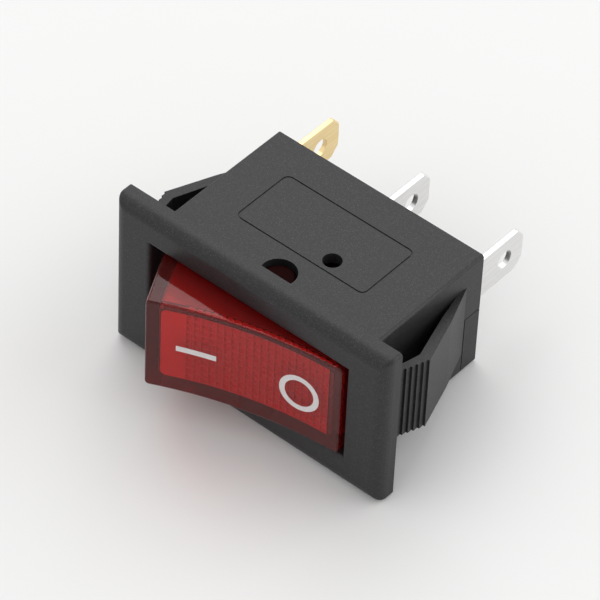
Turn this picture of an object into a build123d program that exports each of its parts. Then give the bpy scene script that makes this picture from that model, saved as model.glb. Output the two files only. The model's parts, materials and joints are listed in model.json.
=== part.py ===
from build123d import *
from math import cos, radians, sin, sqrt
import os

# Panel rocker switch with a lit red rocker, lengths in millimetres.
# X runs along the bezel's long side, from the "on" end (-X) to the "off" end (+X).
# Y runs into the panel, from the rocker (-Y) to the quick-connect tabs (+Y).
# Z runs across the bezel. The origin is the centre of the face that seats on the panel.
# The rest position is off: the +X end of the rocker is pressed in.

# Bezel
BEZEL_LENGTH = 31.0
BEZEL_HEIGHT = 17.4
BEZEL_DEPTH = 2.1
BEZEL_EDGE_RADIUS = 1.2
BEZEL_CORNER_RADIUS = 0.35
SEAT_RIM_WIDTH = 0.5
SEAT_RIM_HEIGHT = 0.2
MOUTH_RADIUS = 0.4
APERTURE_MARGIN = 0.55

# Case behind the panel
CASE_LENGTH = 23.6
CASE_HEIGHT = 13.1
CASE_DEPTH = 15.75
END_WALL = 0.9
SIDE_WALL = 1.15
CASE_EDGE_RADIUS = 0.3
VENT_X = 2.48
VENT_Y = 6.32
VENT_RADIUS = 0.9
LINE_FRAME_X = -0.15
LINE_FRAME_Y = 8.42
LINE_FRAME_LENGTH = 14.7
LINE_FRAME_WIDTH = 7.15
LINE_FRAME_RADIUS = 0.7
LINE_WIDTH = 0.16
LINE_DEPTH = 0.09

# Snap arms: distances out from the end wall's outer face, and depths behind the panel
ARM_UNDER_BEZEL = 0.5
ARM_WIDTH = 8.2
ARM_ROOT_SETBACK = 2.15
ARM_SPREAD = 4.5
ARM_KNEE_SHARE = 0.5
ARM_KNEE_Y = 9.5
ARM_BEND_Y = 4.6
ARM_NOSE_IN = 0.4
ARM_NOSE_Y = 0.9
ARM_ROOT_RUN = 1.4
ARM_KNEE_THICKNESS = 0.95
ARM_BEND_THICKNESS = 1.1
ARM_NOSE_THICKNESS = 0.55
STEP_COUNT = 5
STEP_RUN = 0.54
STEP_RISE = 0.2

# Rear base
BASE_THICKNESS = 1.5
TONGUE_DEPTH = 2.1
TONGUE_TOP = 0.1
TONGUE_SEAM = 0.1
POST_HEIGHT = 3.0
POST_WALL = 1.2
SLOT_CLEARANCE = 0.05
STOP_THICKNESS = 1.6
STOP_GAP = 0.12

# Rocker, in its own frame: the pivot axis is its origin
PIVOT_Y = 2.07
PIVOT_HOLE_RADIUS = 1.7
PIVOT_CLEARANCE = 0.05
PIN_RECESS = 0.5
PIN_CHAMFER = 0.3
ROCKER_TRAVEL = 30.8
ROCKER_SIDE_GAP = 0.25
ROCKER_END_GAP = 0.3
ROCKER_FRONT_SETBACK = 1.27
ROCKER_FRONT_RISE = 7.08
ROCKER_HOLLOW = 0.98
SKIRT_TOP = -2.0
SKIRT_BOTTOM = 0.8
EAR_RADIUS = 2.5
FRONT_WALL = 1.3
ROCKER_WALL = 1.2
ROCKER_EDGE_RADIUS = 0.2
ROCKER_CORNER_RADIUS = 0.4
HOLLOW_CORNER_RADIUS = 0.4

# Plunger in the rocker, and the contact lever that it tips
GUIDE_WALL_GAP = 0.27
PLUNGER_RADIUS = 1.0
PLUNGER_BORE_CLEARANCE = 0.08
PLUNGER_TOP = 0.2
GUIDE_WALL = 0.6
GUIDE_BOTTOM = 3.0
LEVER_SWING = 16.0
LEVER_PLAY = 0.08
LEVER_THICKNESS = 0.6
LEVER_WIDTH = 3.4
LEVER_TAIL = 5.5
LEVER_CORNER_RADIUS = 0.8
TROUGH_SPREAD = 37.5
FULCRUM_GAP = 0.1
FULCRUM_HEIGHT = 4.5

# Contacts
CONTACT_FROM_WALL = 3.0
CONTACT_RADIUS = 1.3
CONTACT_HEAD = 0.6
CONTACT_CROWN = 0.25
CONTACT_GAP = 0.1
SHANK_RADIUS = 0.7
SHANK_CLEARANCE = 0.01
PEEN_RADIUS = 1.0
PEEN_HEIGHT = 0.25

# Terminals
TAB_WIDTH = 4.8
TAB_THICKNESS = 0.5
TAB_OFFSET = 0.25
TAB_REACH = 7.1
TAB_TAPER_LENGTH = 1.0
TAB_TAPER = 1.15
TAB_TIP_RADIUS = 0.5
TAB_BEVEL = 0.15
TAB_HOLE_RADIUS = 0.95
TAB_HOLE_FROM_TIP = 2.7
SHELF_REACH = 4.5
WING_MARGIN = 0.65
SHOULDER_EXTRA = 0.5
EAR_HEIGHT = 0.9
EAR_GAP = 0.2

# Neon lamp, its resistor, wires and springs, in the rocker's frame unless said
LAMP_Y = -2.7
LAMP_RADIUS = 1.9
LAMP_LENGTH = 8.8
LAMP_WALL_GAP = 0.1
LAMP_END_GAP = 1.2
LAMP_GLASS = 0.35
LAMP_BASE = 1.6
LAMP_SEAT_GAP = 0.05
CRADLE_THICKNESS = 0.8
CRADLE_X = (-6.2, -1.6)
WIRE_RADIUS = 0.25
WIRE_SPREAD = 0.6
WIRE_CLEARANCE = 0.01
ELECTRODE_LENGTH = 4.0
ELECTRODE_RADIUS = 0.38
ELECTRODE_GAP = 0.4
WIRE_LOW_Y = -0.3
WIRE_BEND = 0.9
RESISTOR_FROM_LAMP = 2.0
RESISTOR_LENGTH = 4.4
RESISTOR_RADIUS = 0.95
RESISTOR_END_RADIUS = 1.15
RESISTOR_END_LENGTH = 1.0
LAMP_SPRING_FROM_WALL = 2.9
LAMP_SPRING_RADIUS = 0.9
LAMP_SPRING_WIRE = 0.17
LAMP_SPRING_TURNS = 7
PLUNGER_SPRING_RADIUS = 0.72
PLUNGER_SPRING_WIRE = 0.16
PLUNGER_SPRING_TURNS = 6
SEAT_GAP = 0.05

# Worked out from the sizes above
CAVITY_HALF_X = CASE_LENGTH / 2 - END_WALL
CAVITY_HALF_Z = CASE_HEIGHT / 2 - SIDE_WALL
APERTURE_LENGTH = CASE_LENGTH - 2 * APERTURE_MARGIN
ARM_ROOT_Y = CASE_DEPTH - ARM_ROOT_SETBACK
ARM_BEND_OUT = (BEZEL_LENGTH - CASE_LENGTH) / 2 - ARM_UNDER_BEZEL
ARM_KNEE_OUT = ARM_BEND_OUT * ARM_KNEE_SHARE
ARM_NOSE_OUT = ARM_BEND_OUT - STEP_COUNT * STEP_RISE - ARM_NOSE_IN
BASE_Y = CASE_DEPTH - BASE_THICKNESS
SKIRT_RADIUS = CAVITY_HALF_X - ROCKER_END_GAP
ROCKER_FRONT_HALF = SKIRT_RADIUS - ROCKER_FRONT_SETBACK
REST_TILT = ROCKER_TRAVEL / 2
LEVER_TILT = LEVER_SWING / 2
ROCKER_HALF_Z = CAVITY_HALF_Z - ROCKER_SIDE_GAP
PLUNGER_BORE = PLUNGER_RADIUS + PLUNGER_BORE_CLEARANCE
GUIDE_RADIUS = PLUNGER_BORE + GUIDE_WALL
CONTACT_Z = ROCKER_HALF_Z - ROCKER_WALL - GUIDE_WALL_GAP - GUIDE_RADIUS
CONTACT_X = CAVITY_HALF_X - CONTACT_FROM_WALL
FULCRUM_Y = BASE_Y - FULCRUM_HEIGHT
PLUNGER_REACH = FULCRUM_Y - LEVER_THICKNESS - LEVER_PLAY - PIVOT_Y
TAB_TIP_Y = CASE_DEPTH + TAB_REACH
TAB_X = CAVITY_HALF_X - TAB_THICKNESS / 2
TAB_Z = CONTACT_Z + TAB_OFFSET
LAMP_Z = LAMP_RADIUS + LAMP_WALL_GAP + ROCKER_WALL - ROCKER_HALF_Z
LAMP_START = LAMP_END_GAP + ROCKER_WALL - SKIRT_RADIUS
LAMP_END = LAMP_START + LAMP_LENGTH
ELECTRODE_END = LAMP_END - LAMP_BASE - ELECTRODE_GAP
RESISTOR_START = LAMP_END + RESISTOR_FROM_LAMP
LAMP_SPRING_X = CAVITY_HALF_X - LAMP_SPRING_FROM_WALL
WING_Z = LAMP_Z - LAMP_SPRING_RADIUS - WING_MARGIN


def block(x, y, z):
    """Box between two limits on each axis."""
    centre = ((x[0] + x[1]) / 2, (y[0] + y[1]) / 2, (z[0] + z[1]) / 2)
    return Pos(*centre) * Box(x[1] - x[0], y[1] - y[0], z[1] - z[0])


def upright(sketch, z):
    """Profile drawn in XY, carried from z[0] to z[1]."""
    return extrude(Pos(0, 0, z[0]) * sketch, amount=z[1] - z[0], dir=(0, 0, 1))


def polygon(points):
    """Face inside a closed run of points."""
    return make_face(Polyline(*points, close=True))


def rod_y(x, z, y, radius):
    """Cylinder along Y from y[0] to y[1]."""
    middle = Pos(x, (y[0] + y[1]) / 2, z)
    return middle * Rot(90, 0, 0) * Cylinder(radius, y[1] - y[0])


def rod_z(x, y, z, radius):
    """Cylinder along Z from z[0] to z[1]."""
    return Pos(x, y, (z[0] + z[1]) / 2) * Cylinder(radius, z[1] - z[0])


def rod_x(x, y, z, radius):
    """Cylinder along X from x[0] to x[1]."""
    middle = Pos((x[0] + x[1]) / 2, y, z)
    return middle * Rot(0, 90, 0) * Cylinder(radius, x[1] - x[0])


def both_ends(solid):
    """A solid and its mirror image at the other end."""
    return solid + mirror(solid, about=Plane.YZ)


def on_rocker(solid):
    """Place of a solid drawn in the rocker's own frame."""
    return Pos(0, PIVOT_Y, 0) * Rot(0, 0, REST_TILT) * solid


def on_lever(solid):
    """Place of a solid drawn in the contact lever's own frame."""
    return Pos(0, FULCRUM_Y, 0) * Rot(0, 0, -LEVER_TILT) * solid


def rocker_point(x, y):
    """Place in the part's frame of a point of the rocker's frame."""
    turn = radians(REST_TILT)
    return x * cos(turn) - y * sin(turn), PIVOT_Y + x * sin(turn) + y * cos(turn)


def coil(x, z, y, radius, wire, turns):
    """Compression spring along Y from y[0] to y[1]."""
    length = y[1] - y[0] - 2 * wire
    path = Helix(pitch=length / turns, height=length, radius=radius)
    section = Plane(origin=path @ 0, z_dir=path % 0) * Circle(wire)
    spring = sweep(section, path=path, is_frenet=True)
    return Pos(x, y[0] + wire, z) * Rot(-90, 0, 0) * spring


# Housing: bezel, case and snap arms in one moulding

def outer_corner(edge):
    """True for an edge at one of the bezel's four corners."""
    middle = edge.center()
    near_x = abs(middle.X) > BEZEL_LENGTH / 2 - BEZEL_EDGE_RADIUS
    near_z = abs(middle.Z) > BEZEL_HEIGHT / 2 - BEZEL_EDGE_RADIUS
    return near_x and near_z


def bezel():
    """Rounded frame with a raised seating rim on its back and a rounded mouth."""
    half_x = BEZEL_LENGTH / 2
    half_z = BEZEL_HEIGHT / 2
    frame = block((-half_x, half_x), (-BEZEL_DEPTH, 0), (-half_z, half_z))
    front = frame.faces().sort_by(Axis.Y)[0]
    frame = fillet(front.edges(), BEZEL_EDGE_RADIUS)
    frame = fillet(frame.edges().filter_by(outer_corner), BEZEL_CORNER_RADIUS)
    inner_x = half_x - SEAT_RIM_WIDTH
    inner_z = half_z - SEAT_RIM_WIDTH
    relief = block((-inner_x, inner_x), (-SEAT_RIM_HEIGHT, 0), (-inner_z, inner_z))
    mouth_x = APERTURE_LENGTH / 2
    frame -= block((-mouth_x, mouth_x), (-BEZEL_DEPTH, 0), (-CAVITY_HALF_Z, CAVITY_HALF_Z))
    mouth = frame.faces().sort_by(Axis.Y)[0].inner_wires()[0]
    return fillet(mouth.edges(), MOUTH_RADIUS) - relief


def arm_outline():
    """Side view of the +X snap arm, from its root out to the stepped nose."""
    wall = CASE_LENGTH / 2
    outer = [(wall - END_WALL / 2, ARM_ROOT_Y), (wall, ARM_ROOT_Y), (wall + ARM_KNEE_OUT, ARM_KNEE_Y)]
    x = wall + ARM_BEND_OUT
    y = ARM_BEND_Y
    outer.append((x, y))
    for _ in range(STEP_COUNT):
        x -= STEP_RISE
        outer.append((x, y))
        y -= STEP_RUN
        outer.append((x, y))
    nose = wall + ARM_NOSE_OUT
    outer.append((nose, ARM_NOSE_Y))
    inner = [
        (nose - ARM_NOSE_THICKNESS, ARM_NOSE_Y),
        (wall + ARM_BEND_OUT - ARM_BEND_THICKNESS, ARM_BEND_Y),
        (wall + ARM_KNEE_OUT - ARM_KNEE_THICKNESS, ARM_KNEE_Y),
        (wall, ARM_ROOT_Y - ARM_ROOT_RUN),
        (wall - END_WALL / 2, ARM_ROOT_Y - ARM_ROOT_RUN),
    ]
    return polygon(outer + inner)


def snap_arm(spread):
    """The +X snap arm, sprung outwards about its root by an angle."""
    arm = upright(arm_outline(), (-ARM_WIDTH / 2, ARM_WIDTH / 2))
    root = Pos(CASE_LENGTH / 2, ARM_ROOT_Y, 0)
    return root * Rot(0, 0, spread) * root.inverse() * arm


def line_frame():
    """Shallow engraved line round an empty panel on the upper side wall."""
    outer = RectangleRounded(LINE_FRAME_LENGTH, LINE_FRAME_WIDTH, LINE_FRAME_RADIUS)
    inner = RectangleRounded(
        LINE_FRAME_LENGTH - 2 * LINE_WIDTH,
        LINE_FRAME_WIDTH - 2 * LINE_WIDTH,
        LINE_FRAME_RADIUS - LINE_WIDTH,
    )
    line = Pos(LINE_FRAME_X, LINE_FRAME_Y, 0) * (outer - inner)
    top = CASE_HEIGHT / 2
    return upright(line, (top - LINE_DEPTH, top + LINE_DEPTH))


def notch():
    """Cut at the lower rear corners of the case, where the rear base's tongues lie."""
    corner = block(
        (CAVITY_HALF_X, CASE_LENGTH / 2 + 1),
        (CASE_DEPTH - TONGUE_DEPTH, CASE_DEPTH + 1),
        (-CASE_HEIGHT / 2 - 1, TONGUE_TOP),
    )
    return both_ends(corner)


def tongues():
    """Ends of the rear base, flush with the case and a seam away from it."""
    corner = block(
        (CAVITY_HALF_X, CASE_LENGTH / 2),
        (CASE_DEPTH - TONGUE_DEPTH + TONGUE_SEAM, CASE_DEPTH),
        (-CASE_HEIGHT / 2, TONGUE_TOP - TONGUE_SEAM),
    )
    outer = corner.edges().filter_by(Axis.Y).sort_by(Axis.X)[-2:].sort_by(Axis.Z)[0]
    return both_ends(fillet(outer, CASE_EDGE_RADIUS))


def make_housing():
    """Bezel, open-backed case, pivot holes and two springy snap arms."""
    half_x = CASE_LENGTH / 2
    half_z = CASE_HEIGHT / 2
    case = block((-half_x, half_x), (-SEAT_RIM_HEIGHT, CASE_DEPTH), (-half_z, half_z))
    case = fillet(case.edges().filter_by(Axis.Y), CASE_EDGE_RADIUS)
    shell = case + snap_arm(0) + mirror(snap_arm(ARM_SPREAD), about=Plane.YZ)
    mouth_x = APERTURE_LENGTH / 2
    shell -= block((-mouth_x, mouth_x), (-SEAT_RIM_HEIGHT, 0), (-CAVITY_HALF_Z, CAVITY_HALF_Z))
    shell += bezel()
    cavity_x = (-CAVITY_HALF_X, CAVITY_HALF_X)
    shell -= block(cavity_x, (0, CASE_DEPTH), (-CAVITY_HALF_Z, CAVITY_HALF_Z))
    shell -= rod_z(0, PIVOT_Y, (-half_z - 1, half_z + 1), PIVOT_HOLE_RADIUS)
    shell -= rod_z(VENT_X, VENT_Y, (0, half_z + 1), VENT_RADIUS)
    return shell - line_frame() - notch()


# Rear base: closes the case and holds the terminals

def make_rear_base():
    """Base plate with end tongues, the post of the middle terminal and the lever's stop."""
    cavity_x = (-CAVITY_HALF_X, CAVITY_HALF_X)
    base = block(cavity_x, (BASE_Y, CASE_DEPTH), (-CAVITY_HALF_Z, CAVITY_HALF_Z))
    base += tongues()
    post_x = TAB_THICKNESS / 2 + POST_WALL
    base += block((-post_x, post_x), (BASE_Y - POST_HEIGHT, BASE_Y), (-CAVITY_HALF_Z, CAVITY_HALF_Z))
    base += block(
        (-LEVER_TAIL, STOP_THICKNESS - LEVER_TAIL),
        (stop_height(), BASE_Y),
        (CONTACT_Z - LEVER_WIDTH / 2, CONTACT_Z + LEVER_WIDTH / 2),
    )
    half_tab = TAB_WIDTH / 2 + SLOT_CLEARANCE
    for x in (-TAB_X, 0, TAB_X):
        thick = TAB_THICKNESS / 2 + SLOT_CLEARANCE
        base -= block(
            (x - thick, x + thick),
            (BASE_Y - POST_HEIGHT, CASE_DEPTH),
            (TAB_Z - half_tab, TAB_Z + half_tab),
        )
    return base


# Rocker: lit cap, hollow behind, with pivot pins, plunger guide and lamp cradle

def rocker_profile(wall, front, bottom):
    """Side view of the rocker, drawn in by a wall at its ends and one at its front."""
    skirt_x = sqrt(SKIRT_RADIUS ** 2 - SKIRT_TOP ** 2) - wall
    lean = (skirt_x + wall - ROCKER_FRONT_HALF) / (ROCKER_FRONT_RISE + SKIRT_TOP)
    corner_x = ROCKER_FRONT_HALF - wall + lean * front
    corner_y = front - ROCKER_FRONT_RISE
    radius = SKIRT_RADIUS - wall
    low_y = min(bottom, SKIRT_BOTTOM)
    low_x = sqrt(radius ** 2 - low_y ** 2)
    side_y = -sqrt(radius ** 2 - skirt_x ** 2)
    right = [
        Line((corner_x, corner_y), (skirt_x, side_y)),
        ThreePointArc((skirt_x, side_y), (radius, 0), (low_x, low_y)),
    ]
    left = [mirror(edge, about=Plane.YZ) for edge in right]
    hollow = ThreePointArc((-corner_x, corner_y), (0, corner_y + ROCKER_HOLLOW), (corner_x, corner_y))
    if bottom > low_y:
        floor = [
            Line((low_x, low_y), (low_x, bottom)),
            Line((low_x, bottom), (-low_x, bottom)),
            Line((-low_x, bottom), (-low_x, low_y)),
        ]
    else:
        floor = [Line((low_x, low_y), (-low_x, low_y))]
    return make_face(right + left + [hollow] + floor)


def plunger_guide():
    """Bored tube behind the rocker's front wall."""
    top = ROCKER_HOLLOW + FRONT_WALL / 2 - ROCKER_FRONT_RISE
    return rod_y(0, CONTACT_Z, (top, GUIDE_BOTTOM), GUIDE_RADIUS)


def lamp_cradle():
    """Two ribs with round seats for the lamp."""
    ribs = Part()
    for x in CRADLE_X:
        ribs += block(
            (x - CRADLE_THICKNESS / 2, x + CRADLE_THICKNESS / 2),
            (ROCKER_HOLLOW + FRONT_WALL / 2 - ROCKER_FRONT_RISE, LAMP_Y),
            (ROCKER_WALL / 2 - ROCKER_HALF_Z, LAMP_Z + LAMP_RADIUS + CRADLE_THICKNESS / 2),
        )
    seat = rod_x((LAMP_START, LAMP_END), LAMP_Y, LAMP_Z, LAMP_RADIUS + LAMP_SEAT_GAP)
    return ribs - seat


def end_corners(solid):
    """Edges between a rocker profile's straight end walls and its sides."""
    straight = solid.edges().filter_by(GeomType.LINE)
    upper = straight.filter_by(lambda edge: edge.center().Y < SKIRT_TOP)
    return upper.filter_by(lambda edge: abs(edge.tangent_at(0).Z) < 0.5)


def make_rocker():
    """Red cap that tips on two short pins."""
    body = upright(rocker_profile(0, 0, SKIRT_BOTTOM), (-ROCKER_HALF_Z, ROCKER_HALF_Z))
    body = fillet(end_corners(body), ROCKER_CORNER_RADIUS)
    front = body.faces().sort_by(Axis.Y)[0]
    body = fillet(front.edges(), ROCKER_EDGE_RADIUS)
    body += rod_z(0, 0, (-ROCKER_HALF_Z, ROCKER_HALF_Z), EAR_RADIUS)
    inner_z = ROCKER_HALF_Z - ROCKER_WALL
    hollow = upright(rocker_profile(ROCKER_WALL, FRONT_WALL, EAR_RADIUS + 1), (-inner_z, inner_z))
    body -= fillet(end_corners(hollow), HOLLOW_CORNER_RADIUS)
    pin_z = CASE_HEIGHT / 2 - PIN_RECESS
    pins = rod_z(0, 0, (-pin_z, pin_z), PIVOT_HOLE_RADIUS - PIVOT_CLEARANCE)
    tips = pins.edges().filter_by(GeomType.CIRCLE)
    pins = chamfer(tips, PIN_CHAMFER)
    pins -= block((-EAR_RADIUS, EAR_RADIUS), (-EAR_RADIUS, EAR_RADIUS), (-inner_z, inner_z))
    body += pins + plunger_guide() + lamp_cradle()
    bore_top = ROCKER_HOLLOW + FRONT_WALL - ROCKER_FRONT_RISE
    body -= rod_y(0, CONTACT_Z, (bore_top, GUIDE_BOTTOM + 1), PLUNGER_BORE)
    return on_rocker(body)


# Plunger, contact lever and contacts

def make_plunger():
    """Round-ended pin that slides in the rocker's guide."""
    shank = rod_y(0, CONTACT_Z, (PLUNGER_TOP, PLUNGER_REACH - PLUNGER_RADIUS), PLUNGER_RADIUS)
    tip = Pos(0, PLUNGER_REACH - PLUNGER_RADIUS, CONTACT_Z) * Sphere(PLUNGER_RADIUS)
    return on_rocker(shank + tip)


def make_plunger_spring():
    """Spring that pushes the plunger out of its guide."""
    top = ROCKER_HOLLOW + FRONT_WALL - ROCKER_FRONT_RISE + SEAT_GAP
    spring = coil(
        0,
        CONTACT_Z,
        (top, PLUNGER_TOP - SEAT_GAP),
        PLUNGER_SPRING_RADIUS,
        PLUNGER_SPRING_WIRE,
        PLUNGER_SPRING_TURNS,
    )
    return on_rocker(spring)


def trough_radius():
    """Radius of the lever's trough that the plunger's round tip sweeps over."""
    reach = PLUNGER_REACH - PLUNGER_RADIUS
    drop = PIVOT_Y - FULCRUM_Y
    rock = radians(REST_TILT)
    tilt = radians(LEVER_TILT)
    tip_x = reach * sin(rock)
    tip_y = drop + reach * cos(rock)
    side = tip_x * cos(tilt) + tip_y * sin(tilt)
    rise = (drop + reach) - (tip_y * cos(tilt) - tip_x * sin(tilt))
    track = (side ** 2 + rise ** 2) / (2 * rise)
    return track + PLUNGER_RADIUS + LEVER_PLAY


def arm_top():
    """Height of the lever's flat arms above its fulcrum, as a negative Y."""
    inner = trough_radius()
    centre = -inner - LEVER_THICKNESS
    return centre + inner * cos(radians(TROUGH_SPREAD))


def stop_height():
    """Y of the stop under the lever's tail when the lever is tipped over it."""
    tilt = radians(LEVER_TILT)
    under = arm_top() + LEVER_THICKNESS
    return FULCRUM_Y + LEVER_TAIL * sin(tilt) + under * cos(tilt) + STOP_GAP


def lever_head():
    """Length of the lever's contact arm."""
    return CONTACT_X + CONTACT_RADIUS


def make_contact_lever():
    """Copper strip with a rounded trough in the middle and two flat arms."""
    inner = trough_radius()
    outer = inner + LEVER_THICKNESS
    top = arm_top()
    under = top + LEVER_THICKNESS
    edge = inner * sin(radians(TROUGH_SPREAD))
    clip = sqrt(outer ** 2 - (outer + under) ** 2)
    ring = Pos(0, -outer, 0) * (Circle(outer) - Circle(inner))
    window = Pos(0, top / 2, 0) * Rectangle(2 * clip, -top)
    profile = ring & window
    middle = (top + under) / 2
    profile += Pos((edge + lever_head()) / 2, middle, 0) * Rectangle(lever_head() - edge, LEVER_THICKNESS)
    profile += Pos(-(edge + LEVER_TAIL) / 2, middle, 0) * Rectangle(LEVER_TAIL - edge, LEVER_THICKNESS)
    half = LEVER_WIDTH / 2
    strip = upright(profile, (CONTACT_Z - half, CONTACT_Z + half))
    plan = RectangleRounded(lever_head() + LEVER_TAIL, LEVER_WIDTH, LEVER_CORNER_RADIUS)
    centre = (lever_head() - LEVER_TAIL) / 2
    outline = extrude(Rot(90, 0, 0) * plan, amount=outer, both=True)
    strip = strip & (Pos(centre, 0, CONTACT_Z) * outline)
    strip -= rod_y(CONTACT_X, CONTACT_Z, (top - 1, under + 1), SHANK_RADIUS)
    return on_lever(strip)


def rivet(head_height, crown, plate):
    """Contact rivet along +Y: crowned head, shank through a plate and peened end."""
    flat = head_height - crown
    sphere = (CONTACT_RADIUS ** 2 + crown ** 2) / (2 * crown)
    head = rod_y(0, 0, (0, head_height), CONTACT_RADIUS)
    head &= Pos(0, head_height - sphere, 0) * Sphere(sphere)
    head += rod_y(0, 0, (0, flat / 2), CONTACT_RADIUS)
    shank = rod_y(0, 0, (-plate, 0), SHANK_RADIUS - SHANK_CLEARANCE)
    peen = rod_y(0, 0, (-plate - PEEN_HEIGHT, -plate), PEEN_RADIUS)
    return head + shank + peen


def make_moving_contact():
    """Silver rivet in the lever's contact arm."""
    under = arm_top() + LEVER_THICKNESS
    button = rivet(CONTACT_HEAD, CONTACT_CROWN, LEVER_THICKNESS)
    return on_lever(Pos(CONTACT_X, under, CONTACT_Z) * button)


def fixed_contact_face():
    """Y of the fixed contact's crown when the moving contact has just closed on it."""
    tilt = radians(LEVER_TILT)
    crown = arm_top() + LEVER_THICKNESS + CONTACT_HEAD
    return FULCRUM_Y + CONTACT_X * sin(tilt) + crown * cos(tilt) + CONTACT_GAP


def shelf_y():
    """Y of the inner terminals' shelves, which carry the fixed contact and the lamp springs."""
    return fixed_contact_face() + CONTACT_HEAD


def make_fixed_contact():
    """Silver rivet on the shelf of the load terminal."""
    button = rivet(CONTACT_HEAD, CONTACT_CROWN, TAB_THICKNESS)
    return Pos(CONTACT_X, shelf_y(), CONTACT_Z) * Rot(180, 0, 0) * button


# Terminals

def tab_blade(x, inner_y):
    """Quick-connect blade from an inner edge to its bevelled and holed tip."""
    half = TAB_WIDTH / 2
    tip = TAB_TIP_Y
    outline = polygon([
        (inner_y, -half),
        (tip - TAB_TAPER_LENGTH, -half),
        (tip, TAB_TAPER - half),
        (tip, half - TAB_TAPER),
        (tip - TAB_TAPER_LENGTH, half),
        (inner_y, half),
    ])
    outline = fillet(outline.vertices().filter_by(lambda corner: corner.X > inner_y + 1), TAB_TIP_RADIUS)
    hole = Pos(tip - TAB_HOLE_FROM_TIP, 0) * Circle(TAB_HOLE_RADIUS)
    blade = extrude(Plane.YZ * (outline - hole), amount=TAB_THICKNESS / 2, both=True)
    sides = blade.faces().sort_by(Axis.X)
    rim = sides[0].outer_wire().edges() + sides[-1].outer_wire().edges()
    blade = chamfer(rim.filter_by(lambda edge: edge.center().Y > inner_y + 0.01), TAB_BEVEL)
    return Pos(x, 0, TAB_Z) * blade


def end_terminal():
    """The +X terminal: blade, shoulders, and a shelf with a wing for the lamp spring."""
    y = shelf_y()
    x = (TAB_X - TAB_THICKNESS / 2, TAB_X + TAB_THICKNESS / 2)
    high_z = TAB_Z + TAB_WIDTH / 2 + SHOULDER_EXTRA
    blade = tab_blade(TAB_X, y)
    wall = block(x, (y, BASE_Y), (WING_Z, high_z))
    shelf = block((CAVITY_HALF_X - SHELF_REACH, x[1]), (y, y + TAB_THICKNESS), (WING_Z, high_z))
    return blade + wall + shelf


def make_load_terminal():
    """Terminal that carries the fixed contact."""
    hole = rod_y(CONTACT_X, CONTACT_Z, (0, TAB_TIP_Y), SHANK_RADIUS)
    return end_terminal() - hole


def make_lamp_terminal():
    """Brass terminal of the lamp's return."""
    return mirror(end_terminal(), about=Plane.YZ)


def make_common_terminal():
    """Middle terminal, whose inner end is the lever's fulcrum between two ears."""
    top = FULCRUM_Y + FULCRUM_GAP
    seat = BASE_Y - POST_HEIGHT
    half_x = TAB_THICKNESS / 2
    blade = tab_blade(0, top)
    wide = TAB_WIDTH / 2 + SHOULDER_EXTRA
    blade += block((-half_x, half_x), (top, seat), (CONTACT_Z - wide, CONTACT_Z + wide))
    ear_in = LEVER_WIDTH / 2 + EAR_GAP
    for side in (-1, 1):
        span = sorted((CONTACT_Z + side * ear_in, CONTACT_Z + side * wide))
        blade += block((-half_x, half_x), (top - EAR_HEIGHT, seat), span)
    return blade


# Lamp

def make_lamp_bulb():
    """Glass envelope with a domed end and a solid base that the wires pass through."""
    envelope = rod_x((LAMP_START + LAMP_RADIUS, LAMP_END), LAMP_Y, LAMP_Z, LAMP_RADIUS)
    envelope += Pos(LAMP_START + LAMP_RADIUS, LAMP_Y, LAMP_Z) * Sphere(LAMP_RADIUS)
    inner = LAMP_RADIUS - LAMP_GLASS
    hollow_end = LAMP_END - LAMP_BASE
    envelope -= rod_x((LAMP_START + LAMP_RADIUS, hollow_end), LAMP_Y, LAMP_Z, inner)
    envelope -= Pos(LAMP_START + LAMP_RADIUS, LAMP_Y, LAMP_Z) * Sphere(inner)
    for side in (-1, 1):
        wire = (ELECTRODE_END, LAMP_END + 1)
        z = LAMP_Z + side * WIRE_SPREAD
        envelope -= rod_x(wire, LAMP_Y, z, WIRE_RADIUS + WIRE_CLEARANCE)
    return on_rocker(envelope)


def wire_along(points, radius):
    """Round wire along straight runs joined by arcs."""
    path = FilletPolyline(*points, radius=radius)
    section = Plane(origin=path @ 0, z_dir=path % 0) * Circle(WIRE_RADIUS)
    return sweep(section, path=path)


def electrode(side):
    """Nickel rod inside the lamp, welded to the end of its wire."""
    start = ELECTRODE_END - ELECTRODE_LENGTH
    return on_rocker(rod_x((start, ELECTRODE_END), LAMP_Y, LAMP_Z + side * WIRE_SPREAD, ELECTRODE_RADIUS))


def make_lamp_electrode_return():
    """Electrode on the return wire."""
    return electrode(-1)


def make_lamp_electrode_feed():
    """Electrode on the feed wire."""
    return electrode(1)


def make_lamp_wire_return():
    """Wire from the lamp's electrode back along the lamp to the -X spring."""
    z = LAMP_Z - WIRE_SPREAD
    turn_x = LAMP_END + 2 * WIRE_BEND
    points = [
        (ELECTRODE_END, LAMP_Y, z),
        (turn_x, LAMP_Y, z),
        (turn_x, WIRE_LOW_Y, z),
        (-LAMP_SPRING_X - LAMP_SPRING_RADIUS / 2, WIRE_LOW_Y, z),
    ]
    return on_rocker(wire_along(points, WIRE_BEND))


def make_lamp_wire_feed():
    """Straight wire from the lamp's electrode to its resistor."""
    z = LAMP_Z + WIRE_SPREAD
    return on_rocker(rod_x((ELECTRODE_END, RESISTOR_START), LAMP_Y, z, WIRE_RADIUS))


def make_resistor():
    """Series resistor with fuller ends."""
    z = LAMP_Z + WIRE_SPREAD
    end = RESISTOR_START + RESISTOR_LENGTH
    body = rod_x((RESISTOR_START, end), LAMP_Y, z, RESISTOR_RADIUS)
    for start in (RESISTOR_START, end - RESISTOR_END_LENGTH):
        cap = rod_x((start, start + RESISTOR_END_LENGTH), LAMP_Y, z, RESISTOR_END_RADIUS)
        rims = cap.edges().filter_by(GeomType.CIRCLE)
        body += fillet(rims, RESISTOR_END_RADIUS / 4)
    return on_rocker(body)


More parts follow.
